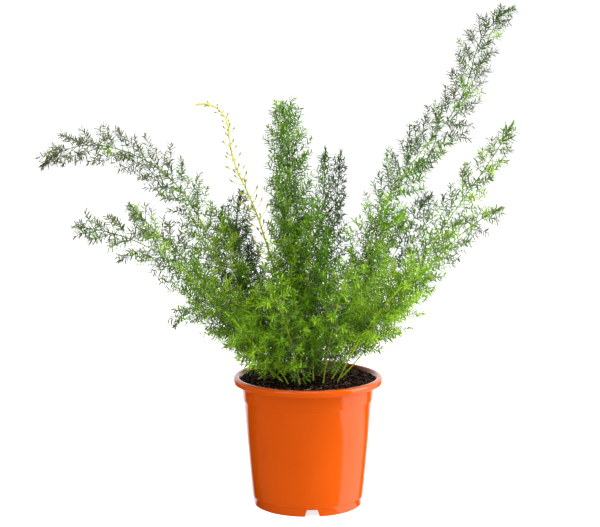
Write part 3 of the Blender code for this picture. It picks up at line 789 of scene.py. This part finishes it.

    # Their tone: young and lighter at the shoots' tips, old and darker inside,
    # where the darkening is partly age and partly painted shade of the plume's
    # interior, and each frond's painted shade lowers it further. Hardened at the
    # outer end of the plume, with some fresh shoots among the old
    fresh = np.where(rng.uniform(0, 1, count) < FRESH_SHARE, 0.5, 0.0)
    # Needles low on a shoot are painted darker as shade, and depth adds each frond's own painted shade
    tone = 0.2 + 0.42 * u + rng.uniform(-0.2, 0.2, count)[owner] - depth
    aged = 0.03 + 0.45 * (1.0 - u) ** 2
    tone = np.maximum(tone * (1.0 - outer[owner]) + aged * outer[owner], fresh[owner])
    shade = np.clip(tone[:, None] + rng.uniform(-0.13, 0.13, roll.shape), 0, 0.75)

    # Needles on the stem's own tip, which close up towards its end
    crown_s = np.linspace(length - CROWN_LENGTH, length - 2.0, CROWN_LEVELS)
    crown_s = np.repeat(crown_s, CROWN_NEEDLES)
    crown_way = ways_along(line, arc, crown_s, 1.5, 0.5)
    one, two = across_frames(crown_way, turn)
    crown_roll = rng.uniform(0, math.tau, len(crown_s))
    crown_tilt = np.radians(52 - 36 * np.linspace(0, 1, len(crown_s)))
    crown_out = one * np.cos(crown_roll)[:, None] + two * np.sin(crown_roll)[:, None]
    crown_heads = crown_way * np.cos(crown_tilt)[:, None]
    crown_heads = crown_heads + crown_out * np.sin(crown_tilt)[:, None]

    centres = np.concatenate([base.reshape(-1, 3), along(line, arc, crown_s)])
    ways = np.concatenate([needle_way.reshape(-1, 3), crown_heads])
    lengths = np.concatenate([reach.reshape(-1), np.full(len(crown_s), NEEDLE_LENGTH * 0.8)])
    shades = np.concatenate([shade.reshape(-1), np.full(len(crown_s), 0.5 - 0.3 * dull)])
    widths = rng.uniform(0.8, 1.1, len(centres))
    rolls = rng.uniform(-0.9, 0.9, len(centres))
    places = needle_places(centres, ways, widths, lengths, rolls)
    blocks.append(stamped(needle_points, needle_faces, places))
    tip_glow = 0.08 * needle_heights[None]
    tints.append((shades[:, None] + tip_glow).reshape(-1))
    blocks = [(points * MM, faces) for points, faces in blocks]
    frond = new_piece(name + "_leaves", blocks, tints)
    frond.data.materials.append(leaf)
    frond.data.shade_smooth()
    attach(frond, "root")
    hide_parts(name)


# Living needles: waxy green, darker where they are old and in the painted
# shade inside a plume, yellower at the tips of the shoots, with a bright
# yellow-green stem. Each set of colours is a copy for one level of painted
# light: light for lit fronds, mid for half-shaded ones and dark for fronds in
# painted shade. "tint" runs from old growth at 0 to young needle at 0.8 and
# stem at 1, and painted shade pulls it down.
LEAF_COLOURS_IN_PAINTED_LIGHT = {
    "light": [(0.0, "84846A"), (0.17, "3E5412"), (0.42, "6A9A0C"), (0.68, "B6DE30"), (1.0, "B6CC30")],
    "mid": [(0.0, "88886C"), (0.17, "344810"), (0.42, "54860C"), (0.68, "9ED026"), (1.0, "AAC22C")],
    "dark": [(0.0, "6C6E56"), (0.17, "34461A"), (0.42, "3E6C0A"), (0.68, "7CB41A"), (1.0, "9AB82A")],
}


def leaf_material(name, stops):
    """Waxy needles by age and painted shade, in blotches of about 22 mm and a bloom of about 1 mm."""
    material, tree, shader = new_material(name, Roughness=0.42, Specular_IOR_Level=0.22)
    age = node(tree, "ShaderNodeAttribute", attribute_name="tint")
    place = object_coordinates(tree)
    blotch = node(tree, "ShaderNodeTexNoise", {"Scale": 45.0, "Detail": 3.0}, {"Vector": place})
    shift = node(tree, "ShaderNodeMath", {1: 0.36}, {0: blotch.outputs["Fac"]}, operation="MULTIPLY")
    lifted = node(tree, "ShaderNodeMath", links={0: age.outputs["Fac"], 1: shift.outputs[0]},
                  operation="ADD")
    sunk = node(tree, "ShaderNodeMath", {1: 0.18}, {0: lifted.outputs[0]}, operation="SUBTRACT")
    colours = ramp(tree, sunk.outputs[0], stops)
    fine = node(tree, "ShaderNodeTexNoise", {"Scale": 900.0, "Detail": 2.0}, {"Vector": place})
    wax = node(tree, "ShaderNodeMapRange", {"To Min": 0.34, "To Max": 0.52},
               {"Value": fine.outputs["Fac"]})
    tree.links.new(colours.outputs["Color"], shader.inputs["Base Color"])
    tree.links.new(wax.outputs["Result"], shader.inputs["Roughness"])
    return material


# Lit, half-shaded and shaded copies of the needle material, one for each level of painted light
leaves = {}
for tint, stops in LEAF_COLOURS_IN_PAINTED_LIGHT.items():
    leaves[tint] = leaf_material(tint + "_needles_in_painted_light", stops)
for number, name in enumerate(FRONDS):
    dress_frond(name, number, leaves[FRONDS[name][5]])

# The young shoot
# A tender new stem, pale yellow-green, which nods over at its tip. Its side
# shoots are still short spikes with small scales and buds, without needles.
YOUNG_FOOT = (-4, 3)
YOUNG_AZIMUTH = 160
YOUNG_LENGTH = 355
YOUNG_LEANS = (17, 16, 17, 19, 29, 2, 112)
YOUNG_STEPS = 110
YOUNG_RADIUS = 1.2
YOUNG_END = 0.15
BUD_LENGTH = 13
SPIKES = 84
SPIKE_SHARES = (0.14, 0.22, 0.55, 0.86, 1.0)
SPIKE_LENGTHS = (16.0, 24.0, 22.0, 9.0, 3.5)
SPIKE_SPREAD = 66
SPIKE_SIDES = 6
SPIKE_RADII = (0.5, 0.42, 0.42, 0.55, 1.2, 0.15)
SPIKE_TINTS = (0.3, 0.4, 0.5, 0.65, 0.9, 1.0)
SCALE_LENGTH = 3.0
ROOT_SCALE_LENGTH = 3.6
SCALE_WIDTH = 0.8
line, arc, turn = stem_line(YOUNG_FOOT, YOUNG_AZIMUTH, YOUNG_LENGTH, YOUNG_LEANS, YOUNG_STEPS)
rng = np.random.default_rng(77)
radii = YOUNG_RADIUS - 0.4 * np.clip(arc / YOUNG_LENGTH, 0, 1)
radii = radii + 0.35 * (arc > YOUNG_LENGTH - BUD_LENGTH)
radii[-1] = YOUNG_END
blocks = [tubes(line[None], radii[None], STEM_SIDES)]
tints = [np.clip(np.repeat(arc / YOUNG_LENGTH, STEM_SIDES), 0, 1) * 0.7]

# Its spikes, the longest low down, each swelling to a bud near its end
s = np.linspace(YOUNG_LENGTH * SPIKE_SHARES[0], YOUNG_LENGTH - 16, SPIKES)
s = s + rng.uniform(-2.5, 2.5, SPIKES)
root = along(line, arc, s)
way = ways_along(line, arc, s)
first, second = across_frames(way, turn)
around = np.arange(SPIKES) * math.radians(GOLDEN_ANGLE)
outward = first * np.cos(around)[:, None] + second * np.sin(around)[:, None]
size = np.interp(s / YOUNG_LENGTH, SPIKE_SHARES, SPIKE_LENGTHS)
size = size * rng.uniform(0.7, 1.1, SPIKES)
lean = np.radians(SPIKE_SPREAD + rng.uniform(-12, 12, SPIKES))
start_way = way * np.cos(lean)[:, None] + outward * np.sin(lean)[:, None]
finish_way = way * np.cos(lean * 0.5)[:, None] + outward * np.sin(lean * 0.5)[:, None]
k = np.linspace(0, 1, len(SPIKE_RADII))[None, :, None]
heading = unit_rows(start_way[:, None] * (1 - k) + finish_way[:, None] * k)
hop = (heading[:, 1:] + heading[:, :-1]) / 2 * (size / (len(SPIKE_RADII) - 1))[:, None, None]
paths = np.concatenate([root[:, None], root[:, None] + np.cumsum(hop, axis=1)], axis=1)
swell = np.array(SPIKE_RADII)[None] * np.ones((SPIKES, 1))
blocks.append(tubes(paths, swell, SPIKE_SIDES))
tints.append(np.tile(np.repeat(np.array(SPIKE_TINTS), SPIKE_SIDES), SPIKES))

# Small scales, three on each spike and one on the stem at its root
scale_roots = np.concatenate([paths[:, 2], paths[:, 3], paths[:, 4], root])
scale_ways = np.concatenate([
    heading[:, 3] + outward * 0.5,
    heading[:, 4] - outward * 0.3,
    heading[:, 5],
    way + outward * 0.8,
])
scales = len(scale_roots)
scale_lengths = np.repeat((SCALE_LENGTH, SCALE_LENGTH, SCALE_LENGTH, ROOT_SCALE_LENGTH), SPIKES)
scale_lengths = scale_lengths * rng.uniform(0.8, 1.3, scales)
scale_widths = np.full(scales, SCALE_WIDTH)
rolls = rng.uniform(-1, 1, scales)
places = needle_places(scale_roots, scale_ways, scale_widths, scale_lengths, rolls)
blocks.append(stamped(needle_points, needle_faces, places))
tints.append(np.repeat(rng.uniform(0.5, 1.0, scales), len(needle_points)))
young = new_piece("young_shoot_stem", [(points * MM, faces) for points, faces in blocks], tints)

# Tender new growth: smooth, a little glossy, green below and straw at the
# buds, with a fine relief of about 2 mm
tender, tree, shader = new_material("tender_new_growth", Roughness=0.4)
age = node(tree, "ShaderNodeAttribute", attribute_name="tint")
colours = ramp(tree, age.outputs["Fac"], [
    (0.0, "8FA03C"),
    (0.45, "BCC44E"),
    (0.7, "DAD450"),
    (0.86, "A89A50"),
    (1.0, "6E6440"),
])
mottle = node(tree, "ShaderNodeTexNoise", {"Scale": 500.0, "Detail": 2.0},
              {"Vector": object_coordinates(tree)})
relief = node(tree, "ShaderNodeBump", {"Strength": 0.25, "Distance": 0.0002},
              {"Height": mottle.outputs["Fac"]})
tree.links.new(colours.outputs["Color"], shader.inputs["Base Color"])
tree.links.new(relief.outputs["Normal"], shader.inputs["Normal"])
young.data.materials.append(tender)
young.data.shade_smooth()
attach(young, "root")
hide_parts("young_shoot")

# The studio: a pale floor, a big soft light at the right that draws the
# highlight on the pot, and weaker ones at the left and overhead. Mirrored rays
# pass through the floor, so that the pot shows the cards of the backdrop.
FLOOR_SIZE = 14
FLOOR_CENTRE = (0, 3.0, -0.0002)
FLOOR_GLOW = 0.78
nothing_selected()
bpy.ops.mesh.primitive_plane_add(size=FLOOR_SIZE, location=FLOOR_CENTRE)
floor = bpy.context.object
floor.name = "studio_floor"
place_applied(floor)

# White paper, matt, which glows a little to the camera so that it reads as the
# seamless white of the backdrop
paper, tree, shader = new_material(
    "white_studio_floor", Roughness=0.7, Base_Color=linear("F9F9F9"), Emission_Color=linear("FFFFFF"))
rays = node(tree, "ShaderNodeLightPath")
glow = node(tree, "ShaderNodeMath", {1: FLOOR_GLOW}, {0: rays.outputs["Is Camera Ray"]},
            operation="MULTIPLY")
tree.links.new(glow.outputs[0], shader.inputs["Emission Strength"])
passing = node(tree, "ShaderNodeBsdfTransparent")
seen_floor = node(tree, "ShaderNodeMixShader", links={
    0: rays.outputs["Is Glossy Ray"], 1: shader.outputs["BSDF"], 2: passing.outputs["BSDF"]})
tree.links.new(seen_floor.outputs[0], tree.nodes["Material Output"].inputs["Surface"])
floor.data.materials.append(paper)
floor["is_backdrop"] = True

# The backdrop is white behind the plant and dim behind the camera, so the
# pot's sides catch pale edges and its front stays a deep orange. Below the
# horizon it holds the cards that the pot mirrors, placed by bearing from the
# left (0) past the camera (0.25) and the right (0.5) to the back (0.75): a
# bright card at the right, dark flags beside the pale sweep at the back.
CARDS = [
    (0.0, "3A3A3A"),
    (0.44, "484848"),
    (0.462, "FFFFFF"),
    (0.475, "E4E4E4"),
    (0.55, "C4C4C4"),
    (0.615, "8C8C8C"),
    (0.635, "000000"),
    (0.67, "000000"),
    (0.69, "A0A0A0"),
    (0.82, "A0A0A0"),
    (0.84, "000000"),
    (0.915, "000000"),
    (0.94, "3A3A3A"),
]
CARD_LIGHT = 4.0
HORIZON = -0.01
FRONT_LIGHT = 0.15
BACK_LIGHT = 0.48
MIRRORED_LIGHT = 2.8
SEEN_LIGHT = 1.1
world = bpy.data.worlds.new("studio")
world.use_nodes = True
backdrop = world.node_tree.nodes["Background"]
backdrop.inputs["Color"].default_value = linear("FFFFFF")
tree = world.node_tree
rays = node(tree, "ShaderNodeLightPath")
bearings = node(tree, "ShaderNodeTexCoord")
way = node(tree, "ShaderNodeSeparateXYZ", links={0: bearings.outputs["Generated"]})
aside = node(tree, "ShaderNodeMath", {1: 0.4}, {0: way.outputs["X"], 2: way.outputs["Y"]},
             operation="MULTIPLY_ADD")
around = node(tree, "ShaderNodeMapRange",
              {"From Min": -0.3, "From Max": 0.6, "To Min": FRONT_LIGHT, "To Max": BACK_LIGHT},
              {"Value": aside.outputs[0]})
sheen = node(tree, "ShaderNodeMath", {1: MIRRORED_LIGHT, 2: 1.0}, {0: rays.outputs["Is Glossy Ray"]},
             operation="MULTIPLY_ADD")
unseen = node(tree, "ShaderNodeMath", links={0: sheen.outputs[0], 1: around.outputs["Result"]},
              operation="MULTIPLY")
bearing = node(tree, "ShaderNodeMath", links={0: way.outputs["Y"], 1: way.outputs["X"]},
               operation="ARCTAN2")
turns = node(tree, "ShaderNodeMapRange", {"From Min": -math.pi, "From Max": math.pi},
             {"Value": bearing.outputs[0]})
cards = ramp(tree, turns.outputs["Result"], CARDS)
mirror = node(tree, "ShaderNodeMath", {1: CARD_LIGHT}, {0: cards.outputs["Color"]},
              operation="MULTIPLY")
below = node(tree, "ShaderNodeMath", {1: HORIZON}, {0: way.outputs["Z"]}, operation="LESS_THAN")
mirrored = node(tree, "ShaderNodeMath", links={0: below.outputs[0], 1: rays.outputs["Is Glossy Ray"]},
                operation="MULTIPLY")
around_all = node(tree, "ShaderNodeMix",
                  links={0: mirrored.outputs[0], 2: unseen.outputs[0], 3: mirror.outputs[0]})
bright = node(tree, "ShaderNodeMapRange", {"To Max": SEEN_LIGHT},
              {"Value": rays.outputs["Is Camera Ray"], "To Min": around_all.outputs[0]})
tree.links.new(bright.outputs["Result"], backdrop.inputs["Strength"])
bpy.context.scene.world = world
bpy.context.scene.view_settings.view_transform = "Standard"


def soft_light(name, place, target, width, height, watts):
    """A rectangular soft light at a place, turned to a target."""
    lamp = bpy.data.lights.new(name, "AREA")
    lamp.shape = "RECTANGLE"
    lamp.size = width
    lamp.size_y = height
    lamp.energy = watts
    holder = bpy.data.objects.new(name, lamp)
    holder.location = place
    holder.rotation_euler = (Vector(target) - Vector(place)).to_track_quat("-Z", "Y").to_euler()
    bpy.context.scene.collection.objects.link(holder)


soft_light("right_softbox", (1.6, -0.15, 0.8), (0, 0, 0.2), 1.1, 1.7, 53)
soft_light("left_fill", (-1.3, -1.7, 1.3), (0, 0, 0.25), 1.2, 1.6, 24)
soft_light("overhead", (0.3, -1.0, 2.1), (0, 0, 0.2), 1.3, 1.3, 32)

# The camera, fitted to the ellipses of the pot's rim and base
CAMERA_X = -0.009
CAMERA_DISTANCE = 1.974
CAMERA_HEIGHT = 0.5818
CAMERA_DROP = 8.74
LENS = 105.8
view = bpy.data.cameras.new("photo_view")
view.sensor_width = 36
view.lens = LENS
camera = bpy.data.objects.new("photo_view", view)
camera.location = (CAMERA_X, -CAMERA_DISTANCE, CAMERA_HEIGHT)
camera.rotation_euler = (math.radians(90 - CAMERA_DROP), 0, 0)
bpy.context.scene.collection.objects.link(camera)
bpy.context.scene.camera = camera

dressed_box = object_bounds()
sizes = {"solid": [list(c) for c in solid_box], "dressed": [list(c) for c in dressed_box]}
